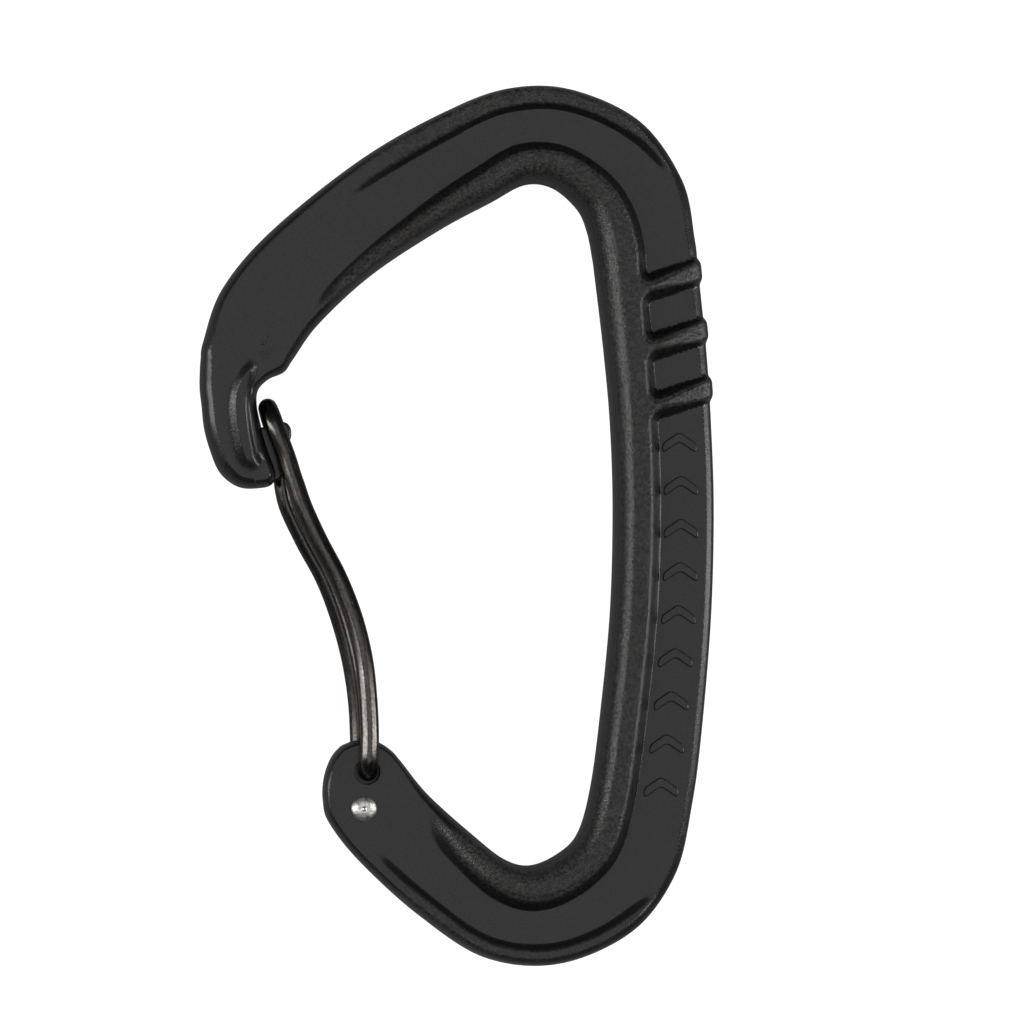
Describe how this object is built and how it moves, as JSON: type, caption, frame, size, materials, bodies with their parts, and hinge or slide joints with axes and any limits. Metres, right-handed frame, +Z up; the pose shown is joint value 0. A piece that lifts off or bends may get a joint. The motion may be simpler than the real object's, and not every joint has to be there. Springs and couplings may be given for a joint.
{
  "type": "wire gate carabiner",
  "caption": "Hot-forged aluminium wire-gate carabiner, offset D shape, with raised rope ribs, a sprung bent-wire gate and a hub rivet.",
  "frame": {"origin": "bottom centre of the bounding box: the plane that the carabiner lies on, under the middle of its outline", "axes": "+Z up through the thickness, +Y along the length towards the nose arm and rope bend, +X towards the spine; the gate is on the -X side"},
  "size_m": [0.0568, 0.097, 0.0098],
  "materials": {
    "anodised_forging": "matte black anodised, fine forged texture",
    "gate_wire": "dark drawn stainless wire",
    "rivet_steel": "bright stainless"
  },
  "bodies": {
    "body": {"frame": "anodised_forging", "gate_rivet": "rivet_steel"},
    "gate": {"wire_gate": "gate_wire"}
  },
  "joints": [
    {"name": "gate_hinge", "type": "hinge", "parent": "body", "child": "gate", "pos_m": [-0.01024, -0.02713, 0.0049], "axis": [0, 0, -1], "range_deg": [0, 53], "stiffness_Nm_per_rad": 0.25, "springref_deg": -11.46}
  ]
}
